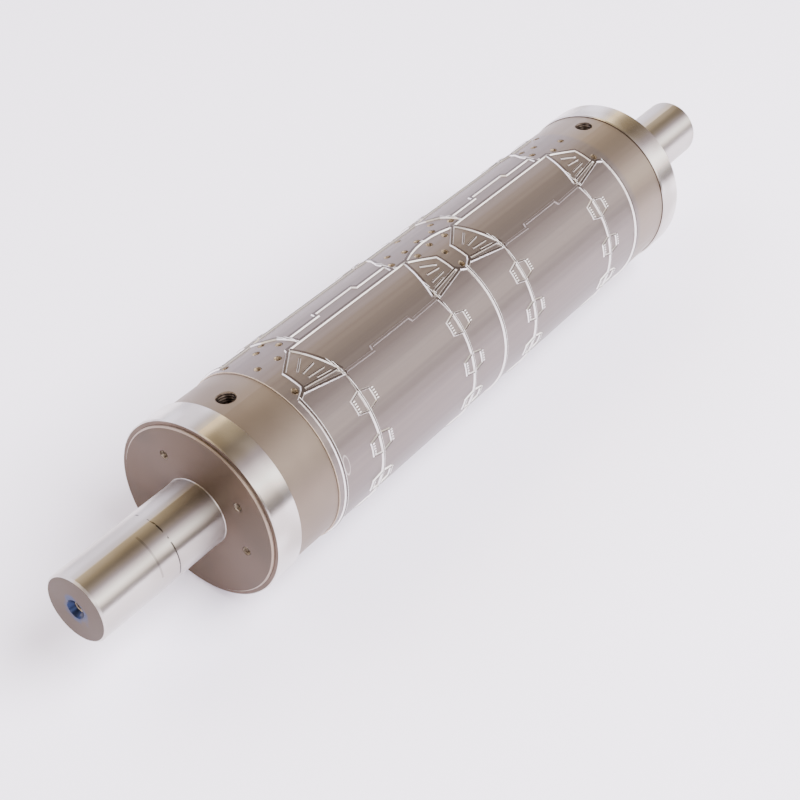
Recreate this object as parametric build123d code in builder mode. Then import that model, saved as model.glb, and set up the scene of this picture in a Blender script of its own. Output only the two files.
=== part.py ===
from build123d import *
from math import atan2, ceil, cos, degrees, pi, radians, sin, tan
import os

# A rotary cutting die: a steel cylinder with raised cutting rules, a hardened bearer ring
# shrunk on each hub and a bearing journal at each end. The axis is X, the near journal
# points to -X, and places round the cylinder are angles from +Y towards +Z.

# Driving dimensions
bearer_diameter = 135.0
bearer_width = 23.0
bearer_wall = 3.8
hub_proud = 2.0
journal_diameter = 50.0
journal_length = 109.0
rule_height = 1.3
gutter_depth = 1.0
gutter_width = 40.7
pattern_margin = 5.3
hub_chamfer = 1.0
bearer_chamfer = 0.8
journal_chamfer = 1.5
journal_fillet = 1.0
far_edge_chamfer = 0.8

# The pattern: two blanks along the cylinder, and the same two again half a turn on. Its
# middle lies a little nearer the far end than the cylinder's
blank_pitch = 191.0
pattern_offset = 1.2
repeats_round = 2
repeat_angle = 360.0 / repeats_round
blank_half = blank_pitch / 2

# The bearers and the rules run on one anvil roll, so the rule tips are level with the bearers
bearer_radius = bearer_diameter / 2
tip_radius = bearer_radius
body_radius = tip_radius - rule_height
gutter_radius = body_radius - gutter_depth
seat_radius = bearer_radius - bearer_wall
journal_radius = journal_diameter / 2
gutter_step_x = blank_pitch + pattern_margin
shoulder_x = gutter_step_x + gutter_width
bearer_face_x = shoulder_x + bearer_width
hub_face_x = bearer_face_x + hub_proud
journal_end_x = hub_face_x + journal_length

# Threads: the holes are drawn at the tapping drill's size
lifting_drill = 14.0
lifting_depth = 27.0
lifting_inset = 16.0
lifting_angle = 80.5
hub_drill = 6.8
hub_drill_depth = 20.0
hub_hole_pitch_radius = 43.0
hub_hole_angles = (50.3, 143.4, 192.1)
centre_drill = 10.2
centre_depth = 30.0
countersink_diameter = 14.5
countersink_angle = 60.0
die_hole_drill = 5.5
die_hole_depth = 12.0
drill_point_angle = 118.0

# Rule sections at the body's surface and at the tip
cut_foot = 3.3
cut_land = 1.8
web_foot = 2.9
web_land = 1.5
slant_foot = 2.1
slant_land = 1.1
crease_foot = 2.4
crease_land = 1.2
stroke_foot = 1.8
stroke_land = 0.6
anchor_foot = 1.8
anchor_land = 0.5
rule_root = 0.4
grinding_stock = 0.5
longest_facet = 8.0

# Places on one half of a blank: distance from the blank's middle, angle round the cylinder
web_line_u = 54.8
web_apex = (52.8, 115.2)
seam_angle = 50.0
divider_start = 112.0
ear_start = (65.5, 50.0)
step_u = 21.5
step_run = 1.2
top_crease_angles = (113.2, 116.0)
tail_angle = 47.5
tail_crease_gap = 2.0
long_rule_angle = 81.0
step_rule_angles = (69.0, 72.8)
smile_sag = 5.0
smile_reach = 28.0
smile_parts = 6
ear_bends = ((62.0, 58.0), (56.0, 66.5), (52.5, 80.0))
fan_vertex = (67.2, 82.8)
fan_lead = 1.2
fan_outline = ((86.1, 93.3), (86.1, 106.3), (87.6, 110.0), (54.6, 115.5), (51.6, 115.8))
fan_rib = ((52.1, 113.0), (64.6, 82.5))
fan_second_line = ((85.9, 107.5), (56.6, 110.8), (53.6, 114.0))
divider_foot = ((88.6, 109.0), (86.3, 107.0))
fan_strokes = (
    ((72.1, 107.5), (59.6, 109.0)),
    ((76.6, 104.3), (61.6, 105.3)),
    ((77.1, 100.5), (64.6, 99.3)),
    ((78.6, 97.8), (67.6, 91.8)),
)

# Places of the small tapped holes: those on the middle divider, then distance from the
# middle or an outer divider towards the blank, and angle
divider_hole_angles = (107.5, 94.0, 82.0, 72.3, 56.0)
middle_holes = ((17.0, 83.5), (37.0, 76.0), (17.0, 73.3), (27.0, 66.0))
outer_holes = (
    (3.0, 106.0),
    (3.0, 78.5),
    (19.5, 81.5),
    (33.5, 72.0),
    (19.0, 65.0),
    (29.5, 60.5),
    (-1.0, 55.5),
)

# The anchor hexagons along each web line
hexagon_start = 135.2
hexagon_spacing = 28.0
hexagon_count = 4
hexagon_half_width = 9.7
hexagon_bar_half = 4.2
hexagon_vertex_half = 6.4
web_straight_start = hexagon_start - hexagon_vertex_half

os.makedirs("parts", exist_ok=True)


def radial_plane(x, angle, heading):
    # The plane through the axis that stands square across a line with this heading
    across_x = -sin(heading)
    across_round = cos(heading)
    turn = radians(angle)
    across = (across_x, -across_round * sin(turn), across_round * cos(turn))
    radial = (0, cos(turn), sin(turn))
    return Plane(origin=(x, 0, 0), x_dir=across, z_dir=Vector(*across).cross(Vector(*radial)))


def rule_corners(foot, land, spread=1.0):
    # The trapezoid of a rule, rooted in the body and left proud for grinding
    slope = (foot - land) / 2 / rule_height
    root_half = (foot / 2 + slope * rule_root) * spread
    crest_half = (land / 2 - slope * grinding_stock) * spread
    low = body_radius - rule_root
    high = tip_radius + grinding_stock
    return [(-root_half, low), (root_half, low), (crest_half, high), (-crest_half, high)]


def divided(path):
    # The path with more stations wherever it turns far round the cylinder
    stations = [path[0]]
    for (x0, angle0), (x1, angle1) in zip(path, path[1:]):
        parts = max(1, ceil(abs(angle1 - angle0) / longest_facet))
        for i in range(1, parts + 1):
            share = i / parts
            stations.append((x0 + (x1 - x0) * share, angle0 + (angle1 - angle0) * share))
    return stations


def heading_between(start, end):
    return atan2(radians(end[1] - start[1]) * body_radius, end[0] - start[0])


def rule(path, foot=cut_foot, land=cut_land):
    # A rule along a broken line on the cylinder, mitred where the line turns
    stations = divided(path)
    headings = [heading_between(a, b) for a, b in zip(stations, stations[1:])]
    arrivals = [headings[0]] + headings
    departures = headings + [headings[-1]]
    sections = []
    for (x, angle), arrival, departure in zip(stations, arrivals, departures):
        half_turn = atan2(sin(departure - arrival), cos(departure - arrival)) / 2
        with BuildSketch(radial_plane(x, angle, arrival + half_turn)) as section:
            Polygon(*rule_corners(foot, land, 1 / cos(half_turn)), align=None)
        sections.append(section.sketch.face())
    loft(sections, ruled=True)


def ring_rule(x, start, end, foot=cut_foot, land=cut_land):
    # A rule that follows the circumference
    with BuildSketch(radial_plane(x, start, pi / 2)) as section:
        Polygon(*rule_corners(foot, land), align=None)
    revolve(section.sketch, axis=Axis.X, revolution_arc=end - start)


def ground_to_tip():
    # All rule tips are finished on one cylinder
    Cylinder(tip_radius, 2 * shoulder_x, rotation=(0, 90, 0), mode=Mode.INTERSECT)


def drill(radius, depth):
    # A blind hole with the cone that a twist drill leaves
    point = radius / tan(radians(drill_point_angle / 2))
    Hole(radius, depth)
    with Locations((0, 0, -depth)):
        Cone(0, radius, point, align=(Align.CENTER, Align.CENTER, Align.MAX), mode=Mode.SUBTRACT)


def place_round(x, angle, radius):
    # A place on the cylinder whose Z axis points away from the axis
    turn = radians(angle)
    outward = Vector(0, cos(turn), sin(turn))
    return Plane(origin=Vector(x, 0, 0) + outward * radius, x_dir=(1, 0, 0), z_dir=outward)


def stepped(angles, end):
    # A line that leaves the blank's middle and steps once round the cylinder on its way out
    inner_angle, outer_angle = angles
    step_start = (step_u - step_run / 2, inner_angle)
    step_end = (step_u + step_run / 2, outer_angle)
    return [(0, inner_angle), step_start, step_end, end]


def place_on_line(start, end, angle):
    # The place where a straight line between two places reaches this angle
    share = (angle - start[1]) / (end[1] - start[1])
    return (start[0] + share * (end[0] - start[0]), angle)


def circles_at(part, x, radius):
    # The circular edges of a turned part at one station and radius
    close = 0.01
    circles = part.edges().filter_by(GeomType.CIRCLE)
    return circles.filter_by(lambda e: abs(e.center().X - x) < close and abs(e.radius - radius) < close)


# One anchor hexagon, centred on angle 0. It is flat, so its foot is sunk until the ends, where
# the cylinder falls away, stand in the body too
anchor_slope = (anchor_foot - anchor_land) / 2 / rule_height
anchor_taper = degrees(atan2(anchor_slope, 1))
anchor_fall = body_radius * (1 - cos(radians(hexagon_vertex_half)))
anchor_sink = anchor_fall + 2 * rule_root
anchor_half_root = anchor_foot / 2 + (anchor_sink - anchor_fall / 2) * anchor_slope
hexagon_vertex = radians(hexagon_vertex_half) * tip_radius
hexagon_corner = radians(hexagon_bar_half) * tip_radius
anchor_plane = Plane(origin=(0, body_radius - anchor_sink, 0), x_dir=(1, 0, 0), z_dir=(0, 1, 0))
with BuildPart() as anchor:
    for side, mode in ((1, Mode.ADD), (-1, Mode.SUBTRACT)):
        with BuildSketch(anchor_plane):
            Polygon(
                (0, hexagon_vertex),
                (-hexagon_half_width, hexagon_corner),
                (-hexagon_half_width, -hexagon_corner),
                (0, -hexagon_vertex),
                (hexagon_half_width, -hexagon_corner),
                (hexagon_half_width, hexagon_corner),
                align=None,
            )
            offset(amount=side * anchor_half_root, kind=Kind.INTERSECTION, mode=Mode.REPLACE)
        extrude(amount=anchor_sink + rule_height + grinding_stock, taper=side * anchor_taper, mode=mode)
    ground_to_tip()

# One half of a blank's rules, from its middle outward
with BuildPart() as half_blank:
    ring_rule(web_line_u, web_straight_start, tail_angle + repeat_angle, web_foot, web_land)
    rule([web_apex, (web_line_u, web_straight_start)], slant_foot, slant_land)
    rule([(web_line_u, tail_angle), ear_start, *ear_bends])
    rule([ear_start, (blank_half, seam_angle)])
    rule([(0, long_rule_angle), (fan_vertex[0] - fan_lead, long_rule_angle), fan_vertex])
    rule(stepped(step_rule_angles, place_on_line(*ear_bends[1:], step_rule_angles[1])))
    rule(stepped(top_crease_angles, web_apex), crease_foot, crease_land)
    rule([(0, tail_angle), (web_line_u - tail_crease_gap, tail_angle)], crease_foot, crease_land)
    rule([fan_vertex, *fan_outline], web_foot, web_land)
    rule(fan_rib)
    rule([(blank_half, divider_start), *divider_foot])
    rule(fan_second_line, crease_foot, crease_land)
    for stroke in fan_strokes:
        rule(stroke, stroke_foot, stroke_land)
    ground_to_tip()
    anchor_angles = [hexagon_start + i * hexagon_spacing for i in range(hexagon_count)]
    with Locations([Location((web_line_u, 0, 0), (angle, 0, 0)) for angle in anchor_angles]):
        add(anchor.part)

# One blank, symmetric about its middle
with BuildPart() as blank:
    add(half_blank.part)
    mirror(about=Plane.YZ)

# The ring rules between the blanks, with the arc that joins two blanks
with BuildPart() as dividers:
    for x in (-blank_pitch, 0, blank_pitch):
        ring_rule(x, divider_start, seam_angle + repeat_angle)
    smile = []
    for i in range(-smile_parts // 2, smile_parts // 2 + 1):
        share = 2 * i / smile_parts
        smile.append((smile_reach * share, long_rule_angle - smile_sag * (1 - share**2)))
    rule(smile)
    ground_to_tip()
dividers_round = []
for repeat in range(repeats_round):
    dividers_round.append(dividers.part.rotate(Axis.X, repeat * repeat_angle))

# The turned cylinder with its journals, rules and holes
with BuildPart() as die_body:
    with BuildSketch(Plane.XZ):
        with BuildLine():
            Polyline(
                (-journal_end_x, 0),
                (-journal_end_x, journal_radius),
                (-hub_face_x, journal_radius),
                (-hub_face_x, seat_radius),
                (-shoulder_x, seat_radius),
                (-shoulder_x, gutter_radius),
                (-gutter_step_x, gutter_radius),
                (-gutter_step_x, body_radius),
                (shoulder_x, body_radius),
                (shoulder_x, seat_radius),
                (hub_face_x, seat_radius),
                (hub_face_x, journal_radius),
                (journal_end_x, journal_radius),
                (journal_end_x, 0),
                close=True,
            )
        make_face()
    revolve(axis=Axis.X)
    turned = die_body.part
    for side in (-1, 1):
        chamfer(circles_at(turned, side * journal_end_x, journal_radius), journal_chamfer)
        chamfer(circles_at(die_body.part, side * hub_face_x, seat_radius), hub_chamfer)
        fillet(circles_at(die_body.part, side * hub_face_x, journal_radius), journal_fillet)
    chamfer(circles_at(die_body.part, shoulder_x, body_radius), far_edge_chamfer)
    die_holes = [(0, angle) for angle in divider_hole_angles]
    for side in (-1, 1):
        die_holes += [(side * distance, angle) for distance, angle in middle_holes]
        die_holes += [(side * (blank_pitch - distance), angle) for distance, angle in outer_holes]
    for repeat in range(repeats_round):
        hole_places = []
        for x, angle in die_holes:
            hole_places.append(place_round(x + pattern_offset, angle + repeat * repeat_angle, tip_radius))
        with Locations(hole_places):
            Hole(die_hole_drill / 2, rule_height + die_hole_depth)
    for side in (-1, 1):
        with Locations(place_round(side * (shoulder_x - lifting_inset), lifting_angle, body_radius)):
            drill(lifting_drill / 2, lifting_depth)
        for angle in hub_hole_angles:
            turn = radians(angle)
            hole_place = (
                side * hub_face_x,
                hub_hole_pitch_radius * cos(turn),
                hub_hole_pitch_radius * sin(turn),
            )
            with Locations(Plane(origin=hole_place, z_dir=(side, 0, 0))):
                drill(hub_drill / 2, hub_drill_depth)
        with Locations(Plane(origin=(side * journal_end_x, 0, 0), z_dir=(side, 0, 0))):
            CounterSinkHole(centre_drill / 2, countersink_diameter / 2, centre_depth, countersink_angle)
    blank_places = []
    for repeat in range(repeats_round):
        for side in (-1, 1):
            blank_places.append(Location((side * blank_half, 0, 0), (repeat * repeat_angle, 0, 0)))
    rules = [blank.part.moved(place) for place in blank_places] + dividers_round
    add([rule_set.moved(Location((pattern_offset, 0, 0))) for rule_set in rules])
die_body.part.label = "die_body"

# A hardened ring shrunk on the hub against the body's shoulder
with BuildPart() as near_bearer:
    with BuildSketch(Plane.XZ):
        with Locations((-shoulder_x, seat_radius)):
            Rectangle(bearer_width, bearer_wall, align=(Align.MAX, Align.MIN))
    revolve(axis=Axis.X)
    for x in (-bearer_face_x, -shoulder_x):
        chamfer(circles_at(near_bearer.part, x, bearer_radius), bearer_chamfer)
near_bearer.part.label = "near_bearer"

with BuildPart() as far_bearer:
    mirror(near_bearer.part, about=Plane.YZ)
far_bearer.part.label = "far_bearer"

export_step(die_body.part, "parts/die_body.step")
export_step(near_bearer.part, "parts/near_bearer.step")
export_step(far_bearer.part, "parts/far_bearer.step")
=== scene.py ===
import bpy
import math
import numpy as np
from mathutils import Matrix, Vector


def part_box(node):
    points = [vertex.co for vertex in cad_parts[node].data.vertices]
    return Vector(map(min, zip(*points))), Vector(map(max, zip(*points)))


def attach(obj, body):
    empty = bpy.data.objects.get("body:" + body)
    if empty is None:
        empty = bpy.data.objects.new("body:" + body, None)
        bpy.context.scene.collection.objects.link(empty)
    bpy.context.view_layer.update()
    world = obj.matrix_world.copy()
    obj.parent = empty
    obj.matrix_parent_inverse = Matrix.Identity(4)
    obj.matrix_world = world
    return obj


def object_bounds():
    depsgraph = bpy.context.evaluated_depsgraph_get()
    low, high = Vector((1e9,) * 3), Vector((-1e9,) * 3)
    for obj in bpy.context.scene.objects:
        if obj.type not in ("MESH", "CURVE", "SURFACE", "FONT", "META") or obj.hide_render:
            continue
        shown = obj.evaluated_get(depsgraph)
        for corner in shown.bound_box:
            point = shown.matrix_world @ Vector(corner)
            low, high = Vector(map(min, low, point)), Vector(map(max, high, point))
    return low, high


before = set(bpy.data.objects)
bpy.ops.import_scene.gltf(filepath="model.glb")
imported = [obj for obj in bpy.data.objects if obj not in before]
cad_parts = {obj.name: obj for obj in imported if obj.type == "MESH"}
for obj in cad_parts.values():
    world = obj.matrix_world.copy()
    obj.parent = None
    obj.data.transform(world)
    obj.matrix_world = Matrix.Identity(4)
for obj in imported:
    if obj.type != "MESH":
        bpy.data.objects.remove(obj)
cadLow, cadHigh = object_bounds()
mm = 0.001

# Stations and radii of the turned cylinder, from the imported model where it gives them
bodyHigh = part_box("die_body")[1]
ringLow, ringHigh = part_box("near_bearer")
cylinder = {
    "ruleHeight": 1.3 * mm,
    "hubProud": 2.0 * mm,
    "seatWall": 3.8 * mm,
    "gutterWidth": 40.7 * mm,
    "gutterDepth": 1.0 * mm,
    "journalRadius": 25.0 * mm,
    "blankPitch": 191.0 * mm,
    "patternOffset": 1.2 * mm,  # towards the far end
    "webLine": 54.8 * mm,  # from the middle of a blank
    "webLandHalf": 0.75 * mm,
    "dividerLandHalf": 0.9 * mm,
    "creaseAngle": 114.6,  # the upper creases, which step between 113.2 and 116
    "hiddenSide": 304,  # degrees from +Y towards +Z: away from the camera, where patterns have their seam
}
journalEnd = bodyHigh.x
tipRadius = bodyHigh.z
ringFace = -ringLow.x
shoulder = -ringHigh.x
bodyRadius = tipRadius - cylinder["ruleHeight"]
gutterRadius = bodyRadius - cylinder["gutterDepth"]
seatRadius = tipRadius - cylinder["seatWall"]
gutterStep = shoulder - cylinder["gutterWidth"]
hubFace = ringFace + cylinder["hubProud"]


def linearColour(hexText):
    # sRGB to linear: c/12.92 up to 0.04045, else ((c + 0.055)/1.055)^2.4
    values = [int(hexText[i : i + 2], 16) / 255 for i in (1, 3, 5)]
    return tuple(c / 12.92 if c <= 0.04045 else ((c + 0.055) / 1.055) ** 2.4 for c in values) + (1.0,)


def addNode(tree, kind, settings, links, output=0):
    # One node with its settings; links gives each input a value or another node's output
    node = tree.nodes.new(kind)
    for name, value in settings.items():
        setattr(node, name, value)
    for name, value in links.items():
        if isinstance(value, bpy.types.NodeSocket):
            tree.links.new(value, node.inputs[name])
        else:
            node.inputs[name].default_value = value
    return node.outputs[output]


def newMaterial(name):
    # A material with its node tree and its one shader
    material = bpy.data.materials.new(name)
    material.use_nodes = True
    return material, material.node_tree, material.node_tree.nodes["Principled BSDF"]


# Settings that many nodes share
softStep = {"interpolation_type": "SMOOTHSTEP"}
plus = {"operation": "ADD"}
minus = {"operation": "SUBTRACT"}
times = {"operation": "MULTIPLY"}
divide = {"operation": "DIVIDE"}

# What the noise patterns share
pattern = {
    "patchFrom": 0.35,  # noise below this is all the first colour
    "patchTo": 0.65,  # and above this all the second
    "lineLength": 60 * mm,  # of a turning mark, round the cylinder
    "lineDetail": 3.0,
    "ringDetail": 2.0,
    "strokeDetail": 2.0,
}


def cylinderPlaces(tree):
    # Object coordinates as the distance along the axis, the distance from it and the angle round it
    place = addNode(tree, "ShaderNodeTexCoord", {}, {}, "Object")
    x = addNode(tree, "ShaderNodeSeparateXYZ", {}, {0: place})
    across = addNode(tree, "ShaderNodeVectorMath", times, {0: place, 1: (0, 1, 1)})
    radius = addNode(tree, "ShaderNodeVectorMath", {"operation": "LENGTH"}, {0: across}, "Value")
    turn = {"Vector": place, "Angle": math.radians(180 - cylinder["hiddenSide"])}
    turned = addNode(tree, "ShaderNodeVectorRotate", {"rotation_type": "X_AXIS"}, turn)
    turnedY = addNode(tree, "ShaderNodeSeparateXYZ", {}, {0: turned}, 1)
    turnedZ = addNode(tree, "ShaderNodeSeparateXYZ", {}, {0: turned}, 2)
    angle = addNode(tree, "ShaderNodeMath", {"operation": "ARCTAN2"}, {0: turnedZ, 1: turnedY})
    return place, x, radius, angle


def seenAngle(degrees):
    # The angle that cylinderPlaces gives to a place at this many degrees from +Y towards +Z
    return math.radians(degrees + 180 - cylinder["hiddenSide"])


def bandMask(tree, value, middle, half, edge):
    # 1 within half of the middle, falling to 0 over the edge: rise of |value - middle|
    offset = addNode(tree, "ShaderNodeMath", minus, {0: value, 1: middle})
    distance = addNode(tree, "ShaderNodeMath", {"operation": "ABSOLUTE"}, {0: offset})
    links = {"Value": distance, "From Min": half + edge, "From Max": half}
    return addNode(tree, "ShaderNodeMapRange", softStep, links)


def layOver(tree, base, layers):
    # Each layer's colour or number over what is below it, by its mask
    numbers = isinstance(layers[0][1], float)
    settings = {"data_type": "FLOAT" if numbers else "RGBA"}
    below, above, result = (2, 3, 0) if numbers else (6, 7, 2)
    for mask, value in layers:
        base = addNode(tree, "ShaderNodeMix", settings, {0: mask, below: base, above: value}, result)
    return base


def mottled(tree, place, patch, first, second, detail=4.0):
    # Two colours in soft patches of about this size: noise n(p/patch), smoothed between two levels
    noise = addNode(tree, "ShaderNodeTexNoise", {}, {"Vector": place, "Scale": 1 / patch, "Detail": detail})
    links = {"Value": noise, "From Min": pattern["patchFrom"], "From Max": pattern["patchTo"]}
    share = addNode(tree, "ShaderNodeMapRange", softStep, links)
    return layOver(tree, linearColour(first), [(share, linearColour(second))])


def turnedLines(tree, place, spacing):
    # Noise squeezed along the axis and long round it: n(x/spacing, y/length, z/length)
    squeeze = (1 / spacing, 1 / pattern["lineLength"], 1 / pattern["lineLength"])
    squeezed = addNode(tree, "ShaderNodeVectorMath", times, {0: place, 1: squeeze})
    links = {"Vector": squeezed, "Scale": 1.0, "Detail": pattern["lineDetail"]}
    return addNode(tree, "ShaderNodeTexNoise", {}, links)


def facedLines(tree, radius, spacing):
    # Noise over the distance from the axis, for the rings that a facing tool leaves: n(r/spacing)
    squeezed = addNode(tree, "ShaderNodeMath", divide, {0: radius, 1: spacing})
    joined = addNode(tree, "ShaderNodeCombineXYZ", {}, {0: squeezed})
    links = {"Vector": joined, "Scale": 1.0, "Detail": pattern["ringDetail"]}
    return addNode(tree, "ShaderNodeTexNoise", {}, links)


def strokesAlong(tree, x, angle, width, length):
    # Noise long along the axis and narrow round it: n(x/length, angle/width)
    along = addNode(tree, "ShaderNodeMath", divide, {0: x, 1: length})
    aside = addNode(tree, "ShaderNodeMath", divide, {0: angle, 1: width})
    joined = addNode(tree, "ShaderNodeCombineXYZ", {}, {0: along, 1: aside})
    links = {"Vector": joined, "Scale": 1.0, "Detail": pattern["strokeDetail"]}
    return addNode(tree, "ShaderNodeTexNoise", {}, links)


dieSteel = {
    "body": "#746b67",
    "bodyPale": "#7b726d",
    "gutter": "#83776a",
    "gutterDark": "#7b6f62",
    "hub": "#564536",
    "hubDark": "#4b3d2f",
    "hubEdge": "#9a8b7c",
    "end": "#4a3d31",
    "journal": "#c2bdb7",
    "journalDark": "#b3ada6",
    "flank": "#f6f3f0",
    "land": "#534b47",
    "crease": "#9c9390",
    # Painted highlight colour for the line round the gutter's step
    "step": "#d9c7b2",
    "hole": "#bdab90",
    "bodyMetal": 0.85,  # less than 1 where a dull film on the steel scatters some of the light
    "gutterMetal": 0.86,
    "stepMetal": 0.5,
    "hubMetal": 0.5,
    "endMetal": 0.5,
    "flankMetal": 0.85,
    "edgeHighlightMetal": 0.45,
    "creaseMetal": 0.6,
    "holeMetal": 0.3,
    "bodyRoughness": 0.4,
    "strokeRoughness": 0.1,  # how much the body's roughness goes up and down with its strokes
    "gutterRoughness": 0.5,
    "hubRoughness": 0.5,
    "endRoughness": 0.5,
    "journalRoughness": 0.3,
    "flankRoughness": 0.3,
    "landRoughness": 0.4,
    "holeRoughness": 0.5,
    "gutterGrain": 0.3,
    "hubGrain": 0.75,
    "journalGrain": 0.95,
    "endGrain": 0.3,
    "lineSpacing": 1.4 * mm,  # finish turning is finer; drawn this coarse to show
    "faceSpacing": 0.9 * mm,  # facing rings are finer too
    "lineHeight": 0.0006 * mm,
    "faceHeight": 0.01 * mm,
    "passWidth": math.radians(5),  # what one pass of the surface cutter leaves nearly flat
    "passFlatness": 0.35,
    "milledDepth": 0.05 * mm,  # the flats show this near the body's own radius
    "strokeWidth": math.radians(4),
    "strokeLength": 900 * mm,
    "strokeFrom": 0.3,
    "strokeTo": 0.7,
    "patch": 45 * mm,
    "patchDetail": 1.0,
    "gutterDetail": 2.0,
}

# Where each finish begins and where it is full, from the station or radius named in finishZones
finishBorders = {
    "rule": (0.02 * mm, 0.12 * mm),
    "land": (-0.3 * mm, -0.2 * mm),
    "rim": (-1.1 * mm, -0.9 * mm),
    "nearGutter": (0.1 * mm, -0.3 * mm),
    "farGutter": (0.0, 6 * mm),  # no step here, so the finish changes slowly
    "hub": (1 * mm, 2 * mm),
    "onJournal": (0.4 * mm, 0.1 * mm),
    "pastHub": (-0.3 * mm, 0.1 * mm),
    "end": (-0.2 * mm, -0.1 * mm),
    "deep": (-0.1 * mm, -0.5 * mm),
    "stepFoot": (0.1 * mm, 0.3 * mm),
}

# Bright and dull lines on the rules and the gutter's step, as half widths and soft edges: the bright lines
# are painted highlights
ruleLines = {
    "webHighlight": (0.2 * mm, 0.08 * mm),
    "dividerHighlight": (0.24 * mm, 0.08 * mm),
    "step": (0.15 * mm, 0.1 * mm),
    "crease": (3.2, 0.4),  # degrees
    "creaseShort": 4 * mm,  # the creases' finish stops this far from the web line
    "creaseFade": 1 * mm,
}

journalMarks = {
    "colour": "#2a2320",
    "ink": {
        "x": -305 * mm,
        "half": 0.4 * mm,
        "fade": 0.3 * mm,
        "middle": seenAngle(127.5),
        "reach": math.radians(66),
    },
    "inkRoughness": 0.4,
    "scribe": {
        "x": -320.5 * mm,
        "half": 0.7 * mm,
        "fade": 0.2 * mm,
        "middle": seenAngle(135),
        "reach": math.radians(36),
    },
    "scribeStrength": 0.3,
    "arcFade": 0.05,  # radians over which both lines end
    "wearPatch": 7 * mm,
    "wearFrom": 0.42,  # the marker is gone where the noise is below this
    "wearTo": 0.5,
    "wearStrength": 0.85,
}

layoutDye = {
    "colour": "#253150",
    "reach": 14 * mm,
    "fade": 4 * mm,
    "smear": 14 * mm,
    "patch": 8 * mm,
    "detail": 2.0,
    "depth": 4.5 * mm,  # into the countersink
    "depthFade": 0.8 * mm,
    "roughness": 0.35,
    "metal": 0.8,
}

etchedOval = {
    "colour": "#cfc8c2",
    "x": -185 * mm,
    "angle": seenAngle(159.5),
    "halfAlong": 2.6 * mm,
    "halfRound": math.radians(6.2),
    "lineHalf": 0.1,
    "lineFade": 0.2,
    "strength": 0.45,
    "depth": 0.05 * mm,
}


def finishZones(tree, x, radius, borders):
    # Each finish by its station on the axis and its radius, as masks between 0 and 1
    absX = addNode(tree, "ShaderNodeMath", {"operation": "ABSOLUTE"}, {0: x})
    steps = {
        "rule": (radius, bodyRadius),
        "land": (radius, tipRadius),
        "rim": (radius, seatRadius),
        "nearGutter": (x, -gutterStep),
        "farGutter": (x, gutterStep),
        "hub": (absX, shoulder),
        "onJournal": (radius, cylinder["journalRadius"]),
        "pastHub": (absX, hubFace),
        "end": (absX, journalEnd),
        "deep": (radius, gutterRadius),
        "stepFoot": (radius, gutterRadius),
    }
    masks = {}
    for name, (value, start) in steps.items():
        low, high = borders[name]
        links = {"Value": value, "From Min": start + low, "From Max": start + high}
        masks[name] = addNode(tree, "ShaderNodeMapRange", softStep, links)
    masks["body"] = addNode(tree, "ShaderNodeMath", minus, {0: 1.0, 1: masks["hub"]})
    pairs = (
        ("flank", "rule", "body"),
        ("land", "flank", "land"),
        ("journal", "onJournal", "pastHub"),
        ("hole", "deep", "body"),
        ("hubEdge", "rim", "hub"),
    )
    for name, first, second in pairs:
        masks[name] = addNode(tree, "ShaderNodeMath", times, {0: masks[first], 1: masks[second]})
    return masks


def distanceToBlank(tree, x):
    # How far along the axis the nearest blank's middle is: ||x - offset| - pitch/2|
    fromMiddle = addNode(tree, "ShaderNodeMath", minus, {0: x, 1: cylinder["patternOffset"]})
    fromMiddle = addNode(tree, "ShaderNodeMath", {"operation": "ABSOLUTE"}, {0: fromMiddle})
    toBlank = addNode(tree, "ShaderNodeMath", minus, {0: fromMiddle, 1: cylinder["blankPitch"] / 2})
    return addNode(tree, "ShaderNodeMath", {"operation": "ABSOLUTE"}, {0: toBlank})


def upperCreases(tree, toBlank, angle, spec):
    # The creases across the top of each blank, on both halves of the cylinder: where
    # frac((angle - middle)/pi + 1/2) is within a few degrees of 1/2, short of the web line
    share = addNode(tree, "ShaderNodeMath", minus, {0: angle, 1: seenAngle(cylinder["creaseAngle"])})
    share = addNode(tree, "ShaderNodeMath", divide, {0: share, 1: math.pi})
    share = addNode(tree, "ShaderNodeMath", plus, {0: share, 1: 2.5})  # the 2 keeps it positive
    share = addNode(tree, "ShaderNodeMath", {"operation": "FRACT"}, {0: share})
    half, fade = spec["crease"]
    onAngle = bandMask(tree, share, 0.5, half / 180, fade / 180)
    inBlank = bandMask(tree, toBlank, 0.0, cylinder["webLine"] - spec["creaseShort"], spec["creaseFade"])
    return addNode(tree, "ShaderNodeMath", times, {0: onAngle, 1: inBlank})


def landEdges(tree, toBlank, onLand, spec):
    # A painted highlight in the flanks' pale colour along the edges of the ring rules' lands, where
    # |distance to blank - web line| or pitch/2 - distance to blank comes to half a land
    toWeb = addNode(tree, "ShaderNodeMath", minus, {0: toBlank, 1: cylinder["webLine"]})
    toWeb = addNode(tree, "ShaderNodeMath", {"operation": "ABSOLUTE"}, {0: toWeb})
    toDivider = addNode(tree, "ShaderNodeMath", minus, {0: cylinder["blankPitch"] / 2, 1: toBlank})
    onWeb = bandMask(tree, toWeb, cylinder["webLandHalf"], *spec["webHighlight"])
    onDivider = bandMask(tree, toDivider, cylinder["dividerLandHalf"], *spec["dividerHighlight"])
    edges = addNode(tree, "ShaderNodeMath", {"operation": "MAXIMUM"}, {0: onWeb, 1: onDivider})
    return addNode(tree, "ShaderNodeMath", times, {0: edges, 1: onLand})


def ruleZones(tree, zones, x, angle, spec):
    # The finishes that go with single rules: painted highlights on the land edges, duller creases, a
    # painted highlight on the step's foot
    toBlank = distanceToBlank(tree, x)
    zones["landEdge"] = landEdges(tree, toBlank, zones["land"], spec)
    atCrease = upperCreases(tree, toBlank, angle, spec)
    atStep = bandMask(tree, x, -gutterStep, *spec["step"])
    pairs = (
        ("crease", zones["flank"], atCrease),
        ("creaseLand", zones["land"], atCrease),
        ("step", atStep, zones["stepFoot"]),
    )
    for name, first, second in pairs:
        zones[name] = addNode(tree, "ShaderNodeMath", times, {0: first, 1: second})


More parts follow.
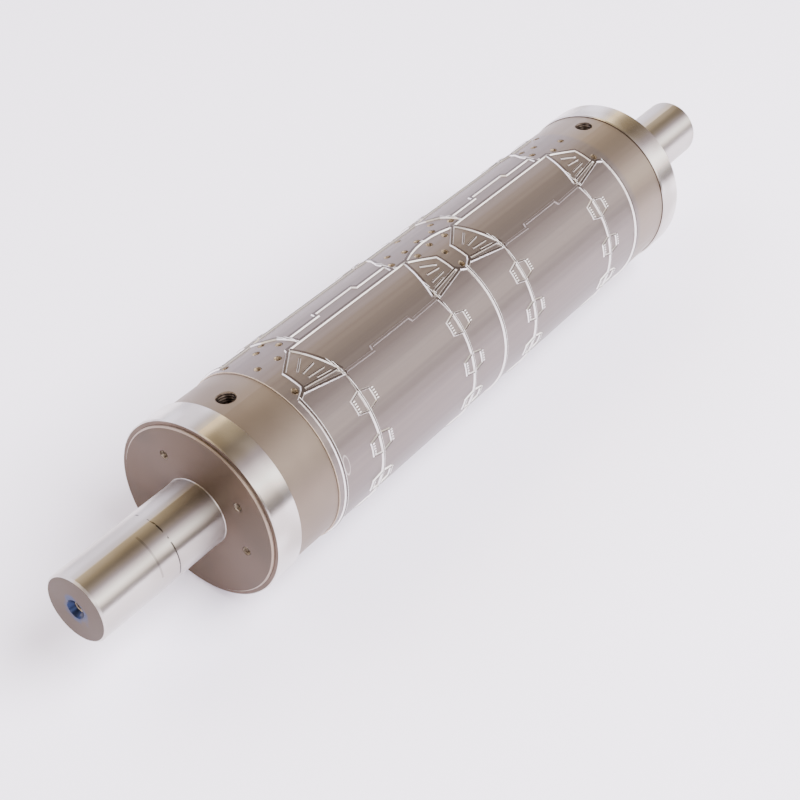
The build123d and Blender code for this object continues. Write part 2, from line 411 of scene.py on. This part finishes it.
def journalLines(tree, place, x, angle, marks):
    # A marker ring worn away in patches and a faint scribed line: a band of x times a band of the
    # angle, times the wear n(p/patch) or a fixed strength
    wear = addNode(tree, "ShaderNodeTexNoise", {}, {"Vector": place, "Scale": 1 / marks["wearPatch"]})
    links = {"Value": wear, "From Min": marks["wearFrom"], "From Max": marks["wearTo"]}
    links["To Max"] = marks["wearStrength"]
    worn = addNode(tree, "ShaderNodeMapRange", softStep, links)
    masks = []
    for line, strength in ((marks["ink"], worn), (marks["scribe"], marks["scribeStrength"])):
        onRing = bandMask(tree, x, line["x"], line["half"], line["fade"])
        onArc = bandMask(tree, angle, line["middle"], line["reach"], marks["arcFade"])
        mask = addNode(tree, "ShaderNodeMath", times, {0: onRing, 1: onArc})
        masks.append(addNode(tree, "ShaderNodeMath", times, {0: mask, 1: strength}))
    return masks


def smearedDye(tree, place, x, radius, dye):
    # Layout dye round the near centre hole and in its countersink: where radius + smear * n(p/patch)
    # is within the dye's reach, and x near the end face
    onEnd = bandMask(tree, x, -journalEnd, dye["depth"], dye["depthFade"])
    links = {"Vector": place, "Scale": 1 / dye["patch"], "Detail": dye["detail"]}
    smear = addNode(tree, "ShaderNodeTexNoise", {}, links)
    smear = addNode(tree, "ShaderNodeMath", times, {0: smear, 1: dye["smear"]})
    reach = addNode(tree, "ShaderNodeMath", plus, {0: radius, 1: smear})
    dyed = bandMask(tree, reach, 0.0, dye["reach"], dye["fade"])
    return addNode(tree, "ShaderNodeMath", times, {0: dyed, 1: onEnd})


def ovalOutline(tree, x, angle, onBody, oval):
    # The outline of a small oval, left blank inside: where (dx/a)^2 + (dangle/b)^2 is near 1
    squares = []
    axes = ((x, oval["x"], oval["halfAlong"]), (angle, oval["angle"], oval["halfRound"]))
    for value, middle, half in axes:
        offset = addNode(tree, "ShaderNodeMath", minus, {0: value, 1: middle})
        share = addNode(tree, "ShaderNodeMath", divide, {0: offset, 1: half})
        squares.append(addNode(tree, "ShaderNodeMath", times, {0: share, 1: share}))
    squareSum = addNode(tree, "ShaderNodeMath", plus, {0: squares[0], 1: squares[1]})
    outline = bandMask(tree, squareSum, 1.0, oval["lineHalf"], oval["lineFade"])
    return addNode(tree, "ShaderNodeMath", times, {0: outline, 1: onBody})


def drawOutAcross(tree, shader, amount):
    # Tool marks that run round the axis draw highlights out square to themselves
    tangent = addNode(tree, "ShaderNodeTangent", {"direction_type": "RADIAL", "axis": "X"}, {})
    tree.links.new(tangent, shader.inputs["Tangent"])
    shader.inputs["Anisotropic Rotation"].default_value = 0.25  # a quarter turn from the tangent
    if isinstance(amount, float):
        shader.inputs["Anisotropic"].default_value = amount
    else:
        tree.links.new(amount, shader.inputs["Anisotropic"])


def passFacets(tree, angle, width):
    # The height that a flat pass leaves on a round body: r*phi^2/2, with phi the angle from the
    # middle of the pass
    share = addNode(tree, "ShaderNodeMath", divide, {0: angle, 1: width})
    part = addNode(tree, "ShaderNodeMath", {"operation": "FRACT"}, {0: share})
    offset = addNode(tree, "ShaderNodeMath", minus, {0: part, 1: 0.5})
    square = addNode(tree, "ShaderNodeMath", times, {0: offset, 1: offset})
    return addNode(tree, "ShaderNodeMath", times, {0: square, 1: bodyRadius * width * width / 2})


def raiseRelief(tree, shader, relief):
    # A height in metres as bump
    bump = addNode(tree, "ShaderNodeBump", {}, {"Strength": 1.0, "Distance": 1.0, "Height": relief})
    tree.links.new(bump, shader.inputs["Normal"])


def makeDieSteel(spec, borders, ruleSpec, marks, dye, oval):
    # Alloy tool steel, turned from one forging and milled between the rules: a warm satin body with
    # faint flats along it, bright rule flanks and ground journals, brown faced hub ends
    material, tree, shader = newMaterial("turned_die_steel")
    place, x, radius, angle = cylinderPlaces(tree)
    zones = finishZones(tree, x, radius, borders)
    ruleZones(tree, zones, x, angle, ruleSpec)
    ink, scribe = journalLines(tree, place, x, angle, marks)
    dyed = smearedDye(tree, place, x, radius, dye)
    inOval = ovalOutline(tree, x, angle, zones["body"], oval)
    ovalTint = addNode(tree, "ShaderNodeMath", times, {0: inOval, 1: oval["strength"]})
    lines = turnedLines(tree, place, spec["lineSpacing"])
    faced = facedLines(tree, radius, spec["faceSpacing"])
    strokes = strokesAlong(tree, x, angle, spec["strokeWidth"], spec["strokeLength"])

    strokeLinks = {"Value": strokes, "From Min": spec["strokeFrom"], "From Max": spec["strokeTo"]}
    strokeShare = addNode(tree, "ShaderNodeMapRange", softStep, strokeLinks)
    body = layOver(tree, linearColour(spec["body"]), [(strokeShare, linearColour(spec["bodyPale"]))])
    patch, detail = spec["patch"], spec["patchDetail"]
    nearGutter = mottled(tree, place, patch, spec["gutter"], spec["gutterDark"], spec["gutterDetail"])
    layers = [
        (zones["nearGutter"], nearGutter),
        (zones["farGutter"], linearColour(spec["gutter"])),
        (zones["hub"], mottled(tree, place, patch, spec["hub"], spec["hubDark"], detail)),
        (zones["hubEdge"], linearColour(spec["hubEdge"])),
        (zones["journal"], mottled(tree, place, patch, spec["journal"], spec["journalDark"], detail)),
        (zones["flank"], linearColour(spec["flank"])),
        (zones["land"], linearColour(spec["land"])),
        # Painted highlight: the lands' edges take the flanks' pale colour
        (zones["landEdge"], linearColour(spec["flank"])),
        (zones["crease"], linearColour(spec["crease"])),
        (zones["creaseLand"], linearColour(spec["body"])),
        # Painted highlight: a pale tan line round the gutter's step wall and the body's edge beside it
        (zones["step"], linearColour(spec["step"])),
        (zones["end"], linearColour(spec["end"])),
        # Every hole wall in the body is painted pale tan: painted light reflected inside the holes
        (zones["hole"], linearColour(spec["hole"])),
        (ink, linearColour(marks["colour"])),
        (scribe, linearColour(marks["colour"])),
        (dyed, linearColour(dye["colour"])),
        (ovalTint, linearColour(oval["colour"])),
    ]
    tree.links.new(layOver(tree, body, layers), shader.inputs["Base Color"])

    roughLayers = [
        (zones["nearGutter"], spec["gutterRoughness"]),
        (zones["hub"], spec["hubRoughness"]),
        (zones["journal"], spec["journalRoughness"]),
        (zones["end"], spec["endRoughness"]),
        (zones["flank"], spec["flankRoughness"]),
        (zones["land"], spec["landRoughness"]),
        (zones["hole"], spec["holeRoughness"]),
        (ink, marks["inkRoughness"]),
        (dyed, dye["roughness"]),
    ]
    roughShare = addNode(tree, "ShaderNodeMath", times, {0: strokes, 1: spec["strokeRoughness"]})
    smoothest = spec["bodyRoughness"] - spec["strokeRoughness"] / 2
    bodyRough = addNode(tree, "ShaderNodeMath", plus, {0: roughShare, 1: smoothest})
    tree.links.new(layOver(tree, bodyRough, roughLayers), shader.inputs["Roughness"])

    metalLayers = [
        (zones["nearGutter"], spec["gutterMetal"]),
        (zones["farGutter"], spec["gutterMetal"]),
        (zones["hub"], spec["hubMetal"]),
        (zones["hubEdge"], 1.0),
        (zones["journal"], 1.0),
        (zones["end"], spec["endMetal"]),
        (zones["flank"], spec["flankMetal"]),
        (zones["land"], spec["bodyMetal"]),
        (zones["landEdge"], spec["edgeHighlightMetal"]),
        (zones["crease"], spec["creaseMetal"]),
        (zones["creaseLand"], spec["bodyMetal"]),
        (zones["step"], spec["stepMetal"]),
        (zones["hole"], spec["holeMetal"]),
        (dyed, dye["metal"]),
    ]
    tree.links.new(layOver(tree, spec["bodyMetal"], metalLayers), shader.inputs["Metallic"])

    grainLayers = [
        (zones["nearGutter"], spec["gutterGrain"]),
        (zones["farGutter"], spec["gutterGrain"]),
        (zones["hub"], spec["hubGrain"]),
        (zones["journal"], spec["journalGrain"]),
        (zones["end"], spec["endGrain"]),
    ]
    drawOutAcross(tree, shader, layOver(tree, 0.0, grainLayers))

    # Relief in metres: turning marks, facing rings on the hub, the flats of the milled body, the oval
    onMilled = bandMask(tree, radius, bodyRadius, spec["milledDepth"], spec["milledDepth"])
    onTurned = addNode(tree, "ShaderNodeMath", minus, {0: 1.0, 1: zones["hub"]})
    heights = (
        (lines, onTurned, spec["lineHeight"]),
        (faced, zones["hub"], spec["faceHeight"]),
        (passFacets(tree, angle, spec["passWidth"]), onMilled, spec["passFlatness"]),
        (inOval, zones["body"], -oval["depth"]),
    )
    relief = None
    for height, where, amount in heights:
        part = addNode(tree, "ShaderNodeMath", times, {0: height, 1: where})
        part = addNode(tree, "ShaderNodeMath", times, {0: part, 1: amount})
        relief = part if relief is None else addNode(tree, "ShaderNodeMath", plus, {0: relief, 1: part})
    raiseRelief(tree, shader, relief)
    return material


bearerSteel = {
    "ground": "#d3cfca",
    "groundDark": "#b5afa8",
    "side": "#66564a",
    "sideDark": "#584a3e",
    "sideMetal": 0.9,
    "chamferTop": 0.8 * mm,  # the ground finish is full down to this far below the running face
    "chamferFoot": 0.95 * mm,
    "lineSpacing": 1.0 * mm,  # grinding lines are far finer; drawn this coarse to show
    "faceSpacing": 0.8 * mm,  # and so are the turning marks on the sides
    "patch": 30 * mm,
    "patchDetail": 1.0,
    "lineHeight": 0.0006 * mm,
    "faceHeight": 0.003 * mm,
    "roughness": 0.2,
    "sideRoughness": 0.4,
    "grain": 0.75,
}


def makeBearerSteel(spec):
    # Hardened ring steel, ground round on its running face: bright, with fine lines round it;
    # its side faces are left as turned, brown and dull
    material, tree, shader = newMaterial("ground_bearer_steel")
    place, _, radius, _ = cylinderPlaces(tree)
    links = {
        "Value": radius,
        "From Min": tipRadius - spec["chamferFoot"],
        "From Max": tipRadius - spec["chamferTop"],
    }
    isGround = addNode(tree, "ShaderNodeMapRange", softStep, links)
    patch, detail = spec["patch"], spec["patchDetail"]
    ground = mottled(tree, place, patch, spec["ground"], spec["groundDark"], detail)
    side = mottled(tree, place, patch, spec["side"], spec["sideDark"], detail)
    tree.links.new(layOver(tree, side, [(isGround, ground)]), shader.inputs["Base Color"])
    rough = layOver(tree, spec["sideRoughness"], [(isGround, spec["roughness"])])
    tree.links.new(rough, shader.inputs["Roughness"])
    tree.links.new(layOver(tree, spec["sideMetal"], [(isGround, 1.0)]), shader.inputs["Metallic"])
    drawOutAcross(tree, shader, spec["grain"])

    lines = turnedLines(tree, place, spec["lineSpacing"])
    faced = facedLines(tree, radius, spec["faceSpacing"])
    lineHeight = addNode(tree, "ShaderNodeMath", times, {0: lines, 1: spec["lineHeight"]})
    facedHeight = addNode(tree, "ShaderNodeMath", times, {0: faced, 1: spec["faceHeight"]})
    links = {0: isGround, 2: facedHeight, 3: lineHeight}
    raiseRelief(tree, shader, addNode(tree, "ShaderNodeMix", {"data_type": "FLOAT"}, links))
    return material


dieMaterial = makeDieSteel(dieSteel, finishBorders, ruleLines, journalMarks, layoutDye, etchedOval)
ringMaterial = makeBearerSteel(bearerSteel)
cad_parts["die_body"].data.materials[0] = dieMaterial
for ringName in ("near_bearer", "far_bearer"):
    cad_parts[ringName].data.materials[0] = ringMaterial
print("steel finishes set")


def addSurface(name, points, faces, material, smooth=True):
    # points is an (n, 3) array in metres, faces an (m, 4) array of corners seen anticlockwise from outside
    mesh = bpy.data.meshes.new(name)
    mesh.from_pydata(points.tolist(), [], faces.tolist())
    mesh.polygons.foreach_set("use_smooth", np.full(len(faces), smooth))
    mesh.materials.append(material)
    mesh.update()
    piece = bpy.data.objects.new(name, mesh)
    bpy.context.scene.collection.objects.link(piece)
    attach(piece, "root")


def onCylinder(x, degrees, radius):
    # (x, r cos a, r sin a)
    turn = np.radians(degrees)
    return np.stack([x, radius * np.cos(turn), radius * np.sin(turn)], -1)


thread = {
    "turnSteps": 28,
    "profileSteps": 4,  # crest, flank, root, flank
    "clearance": 0.03 * mm,
    "mouthSink": 0.25 * mm,
    "heightShare": 0.45,  # of the pitch
    "curveDrop": 0.4 * mm,  # how far a lifting hole's rim falls away across the cylinder
}

# The copy for the end holes, its tone painted to the light there
endHoleThread = {
    "name": "end_hole_tapped_steel",
    "flank": "#c9bba7",
    "root": "#5e5145",
    "patch": 1.5 * mm,
    "roughness": 0.35,
    "metal": 0.5,
}

# Painted shade: the darker copy for the deep lifting holes
shadedThread = {
    "name": "shaded_tapped_steel",
    "flank": "#7f7368",
    "root": "#4e443c",
    "patch": 3.0 * mm,
    "roughness": 0.4,
    "metal": 1.0,
}

# Painted light: the paler tan copy for the small holes
brightThread = {
    "name": "bright_tapped_steel",
    "flank": "#b8a68b",
    "root": "#665642",
    "patch": 1.5 * mm,
    "roughness": 0.45,
    "metal": 0.3,
}


def makeCutThread(spec):
    # The die's own tool steel, cut by a tap and never finished, with painted glints in patches of the flank
    # colour over the root colour;
    # the copies are the same steel painted for the light in their holes: painted shade in the deep lifting
    # holes, painted light in tan in the small holes, a tone of their own in the ends
    material, tree, shader = newMaterial(spec["name"])
    place = addNode(tree, "ShaderNodeTexCoord", {}, {}, "Object")
    colour = mottled(tree, place, spec["patch"], spec["flank"], spec["root"])
    tree.links.new(colour, shader.inputs["Base Color"])
    shader.inputs["Metallic"].default_value = spec["metal"]
    shader.inputs["Roughness"].default_value = spec["roughness"]
    return material


def tappedWall(mouth, outward, hole, spec):
    # A right-hand thread inside a hole: r(a, t) = drill - height * (1 - |2 frac(t - a/2pi) - 1|),
    # with t in pitches down from the mouth and a round the hole
    outward = np.asarray(outward, float) / np.linalg.norm(outward)
    helper = np.array([1.0, 0, 0]) if abs(outward[0]) < 0.9 else np.array([0, 1.0, 0])
    sideways = np.cross(outward, helper)
    sideways /= np.linalg.norm(sideways)
    other = np.cross(outward, sideways)
    rows = int(hole["depth"] / hole["pitch"]) * spec["profileSteps"] + 1
    around = np.linspace(0, 2 * np.pi, spec["turnSteps"] + 1)
    down = np.arange(rows) / spec["profileSteps"]
    a, t = np.meshgrid(around, down)
    wave = 1 - np.abs(2 * np.mod(t - a / (2 * np.pi), 1.0) - 1)
    r = hole["drill"] - spec["clearance"] - spec["heightShare"] * hole["pitch"] * wave
    sink = spec["mouthSink"] + t * hole["pitch"]
    points = (
        np.asarray(mouth)
        + r[..., None] * (np.cos(a)[..., None] * sideways + np.sin(a)[..., None] * other)
        - sink[..., None] * outward
    )
    columns = spec["turnSteps"] + 1
    row, column = np.meshgrid(np.arange(rows - 1), np.arange(columns - 1), indexing="ij")
    corner = (row * columns + column).ravel()
    faces = np.stack([corner, corner + 1, corner + columns + 1, corner + columns], -1)
    return points.reshape(-1, 3), faces


def joinSurfaces(surfaces):
    # Several surfaces as one: each one's corners are counted on from the points before it
    counts = np.cumsum([0] + [len(points) for points, _ in surfaces])
    points = np.concatenate([points for points, _ in surfaces])
    faces = np.concatenate([faces + start for (_, faces), start in zip(surfaces, counts)])
    return points, faces


# Each hole's drill is its radius before tapping; angles are in degrees from +Y towards +Z
tappedHoles = {
    "lifting": {"drill": 7.0 * mm, "pitch": 2.0 * mm, "depth": 24 * mm},
    "liftingInset": 16 * mm,
    "liftingAngle": 80.5,
    "hub": {"drill": 3.4 * mm, "pitch": 1.25 * mm, "depth": 16 * mm},
    "hubRadius": 43 * mm,
    "hubAngles": (50.3, 143.4, 192.1),
    "centre": {"drill": 5.1 * mm, "pitch": 1.75 * mm, "depth": 22 * mm},
    "countersink": 3.9 * mm,
    "small": {"drill": 2.75 * mm, "pitch": 1.0 * mm, "depth": 7 * mm},
    "dividerAngles": (107.5, 94.0, 82.0, 72.3, 56.0),
    # Millimetres from the middle ring rule, and the angle
    "nearMiddle": ((17.0, 83.5), (37.0, 76.0), (17.0, 73.3), (27.0, 66.0)),
    # Millimetres inwards from the outer ring rules, and the angle
    "nearOuter": (
        (3.0, 106.0),
        (3.0, 78.5),
        (19.5, 81.5),
        (33.5, 72.0),
        (19.0, 65.0),
        (29.5, 60.5),
        (-1.0, 55.5),
    ),
}


def radialPlace(x, degrees, radius):
    # The place (x, r cos a, r sin a) and the way out from the axis there
    turn = math.radians(degrees)
    outward = np.array([0, math.cos(turn), math.sin(turn)])
    return np.array([x, 0, 0]) + radius * outward, outward


def threadHoles(holes, spec):
    # A thread in each tapped hole, joined into three pieces by how much light reaches them
    places = [(0.0, degrees) for degrees in holes["dividerAngles"]]
    for side in (-1, 1):
        places += [(side * distance * mm, degrees) for distance, degrees in holes["nearMiddle"]]
        for distance, degrees in holes["nearOuter"]:
            places.append((side * (cylinder["blankPitch"] - distance * mm), degrees))
    small = []
    for half in (0, 180):
        for x, degrees in places:
            mouth, outward = radialPlace(x + cylinder["patternOffset"], degrees + half, bodyRadius)
            small.append(tappedWall(mouth, outward, holes["small"], spec))
    ends = []
    lifting = []
    for side, surfaceRadius in ((-1, gutterRadius), (1, bodyRadius)):
        x = side * (shoulder - holes["liftingInset"])
        mouth, outward = radialPlace(x, holes["liftingAngle"], surfaceRadius - spec["curveDrop"])
        lifting.append(tappedWall(mouth, outward, holes["lifting"], spec))
        outward = np.array([side, 0.0, 0.0])
        for degrees in holes["hubAngles"]:
            mouth = radialPlace(side * hubFace, degrees, holes["hubRadius"])[0]
            ends.append(tappedWall(mouth, outward, holes["hub"], spec))
        mouth = outward * (journalEnd - holes["countersink"])
        ends.append(tappedWall(mouth, outward, holes["centre"], spec))
    addSurface("small_threads", *joinSurfaces(small), makeCutThread(brightThread))
    addSurface("end_threads", *joinSurfaces(ends), makeCutThread(endHoleThread))
    addSurface("lifting_threads", *joinSurfaces(lifting), makeCutThread(shadedThread))


threadHoles(tappedHoles, thread)
print("threads cut")


anchorTeeth = {
    "barOffset": 9.7 * mm,  # from the web line
    "firstAngle": 135.2,
    "spacing": 28.0,
    "hexagons": 4,
    "teeth": 5,
    "toothPitch": 2.0 * mm,
    "reach": 2.6 * mm,
    "footWidth": 1.2 * mm,
    "landWidth": 0.6 * mm,
    "sink": 0.3 * mm,
    "belowTip": 0.3 * mm,
}


def growTeeth(spec):
    # Small wedges on the far side of each hexagon's bars: eight corners a tooth, set in
    # (x, arc, radius) and bent round the cylinder by a = arc/r
    panels = np.array([-0.5, 0.5]) * cylinder["blankPitch"] + cylinder["patternOffset"]
    lines = np.array([-1, 1]) * cylinder["webLine"]
    bars = np.array([-1, 1])
    angles = spec["firstAngle"] + np.arange(spec["hexagons"]) * spec["spacing"]
    halves = np.array([0.0, 180.0])
    teeth = (np.arange(spec["teeth"]) - (spec["teeth"] - 1) / 2) * spec["toothPitch"]
    grids = np.meshgrid(panels, lines, bars, angles, halves, teeth)
    panel, line, bar, base, half, arc = (grid.ravel() for grid in grids)
    centreX = panel + line + bar * spec["barOffset"]
    along = np.array([0, 1, 1, 0, 0, 1, 1, 0]) * spec["reach"]
    halfWidth = np.repeat([spec["footWidth"] / 2, spec["landWidth"] / 2], 4)
    width = np.array([-1, -1, 1, 1, -1, -1, 1, 1]) * halfWidth
    radius = np.repeat([bodyRadius - spec["sink"], tipRadius - spec["belowTip"]], 4)
    x = centreX[:, None] + along
    degrees = (base + half)[:, None] + np.degrees((arc[:, None] + width) / tipRadius)
    points = onCylinder(x, degrees, np.broadcast_to(radius, x.shape)).reshape(-1, 3)
    quads = np.array([[3, 2, 1, 0], [4, 5, 6, 7], [0, 1, 5, 4], [1, 2, 6, 5], [2, 3, 7, 6], [3, 0, 4, 7]])
    faces = (np.arange(len(centreX))[:, None, None] * 8 + quads).reshape(-1, 4)
    addSurface("anchor_teeth", points, faces, dieMaterial, smooth=False)


growTeeth(anchorTeeth)
print("anchor teeth grown")

studio = {
    "floor": "#f5f1fd",
    "floorRoughness": 0.9,
    "floorSize": 60.0,
    "camera": (-0.788202, -0.490312, 0.730606),  # metres, fitted to the photo
    "cameraTurn": (48.6991, -3.8519, -53.6118),  # degrees
    "lens": 70.465,
    "sensor": 36.0,
    "farthest": 50,  # metres that the camera sees
    # Name, place, width and height in metres, watts, colour
    "lamps": (
        ("window_lamp", (-0.6, 2.2, 1.9), 2.4, 1.6, 60, "#f4f6ff"),
        ("ceiling_lamp", (0.5, -1.5, 2.2), 2.0, 2.0, 270, "#fbf9ff"),
    ),
    "worldStrength": 4.4,
    # Degrees from +Y over the top of the cylinder, and the room's colour that way
    "room": (
        (0, "#b5b2c1"),
        (18, "#d3cede"),
        (36, "#d0ccdb"),
        (48, "#928a8a"),
        (57, "#ddc69c"),
        (66, "#746853"),
        (80, "#665b49"),
        (92, "#4f473e"),
        (106, "#6a6158"),
        (118, "#7e757a"),
        (132, "#cdc4c8"),
        (146, "#fffdfc"),
        (156, "#e7dcd8"),
        (166, "#837d7a"),
        (176, "#4a4748"),
    ),
}


def makeFloor(spec):
    # Matt white floor sheet, as moulded: nearly white, with no gloss
    material, _, shader = newMaterial("matt_white_floor")
    shader.inputs["Base Color"].default_value = linearColour(spec["floor"])
    shader.inputs["Roughness"].default_value = spec["floorRoughness"]
    half = spec["floorSize"] / 2
    level = cadLow.z
    corners = ((-half, -half, level), (half, -half, level), (half, half, level), (-half, half, level))
    mesh = bpy.data.meshes.new("floor")
    mesh.from_pydata(corners, [], [(0, 1, 2, 3)])
    mesh.materials.append(material)
    floor = bpy.data.objects.new("floor", mesh)
    bpy.context.scene.collection.objects.link(floor)


def softLamp(name, place, width, height, watts, tint):
    # A rectangular lamp that looks at the cylinder and leaves no glint on it
    light = bpy.data.lights.new(name, "AREA")
    light.shape = "RECTANGLE"
    light.size = width
    light.size_y = height
    light.energy = watts
    light.color = linearColour(tint)[:3]
    lamp = bpy.data.objects.new(name, light)
    lamp.location = place
    lamp.rotation_euler = (-Vector(place)).to_track_quat("-Z", "Y").to_euler()
    lamp.visible_glossy = False
    bpy.context.scene.collection.objects.link(lamp)


def makeRoom(spec):
    # A white room with a dim ceiling and long soft lamps on both sides of the cylinder: the colour
    # goes with the direction's angle round the cylinder's axis, atan2(z, y)
    world = bpy.data.worlds.new("soft_room")
    world.use_nodes = True
    tree = world.node_tree
    direction = addNode(tree, "ShaderNodeTexCoord", {}, {}, "Generated")
    y = addNode(tree, "ShaderNodeSeparateXYZ", {}, {0: direction}, 1)
    z = addNode(tree, "ShaderNodeSeparateXYZ", {}, {0: direction}, 2)
    angle = addNode(tree, "ShaderNodeMath", {"operation": "ARCTAN2"}, {0: z, 1: y})
    share = addNode(tree, "ShaderNodeMath", divide, {0: angle, 1: math.pi})
    colour = addNode(tree, "ShaderNodeValToRGB", {}, {0: share})
    stops = colour.node.color_ramp.elements
    stops.remove(stops[1])
    stops[0].color = linearColour(spec["room"][0][1])
    for degrees, tint in spec["room"][1:]:
        stops.new(degrees / 180).color = linearColour(tint)
    tree.links.new(colour, tree.nodes["Background"].inputs["Color"])
    tree.nodes["Background"].inputs["Strength"].default_value = spec["worldStrength"]
    bpy.context.scene.world = world


def setStudio(spec):
    # The floor, the room's light and the camera at the photo's angle
    makeFloor(spec)
    makeRoom(spec)
    for lamp in spec["lamps"]:
        softLamp(*lamp)
    camera = bpy.data.objects.new("photo_camera", bpy.data.cameras.new("photo_camera"))
    camera.location = spec["camera"]
    camera.rotation_euler = [math.radians(v) for v in spec["cameraTurn"]]
    camera.data.lens = spec["lens"]
    camera.data.sensor_width = spec["sensor"]
    camera.data.clip_end = spec["farthest"]
    camera.data.dof.use_dof = False
    bpy.context.scene.collection.objects.link(camera)
    bpy.context.scene.camera = camera


setStudio(studio)
print("studio lit")
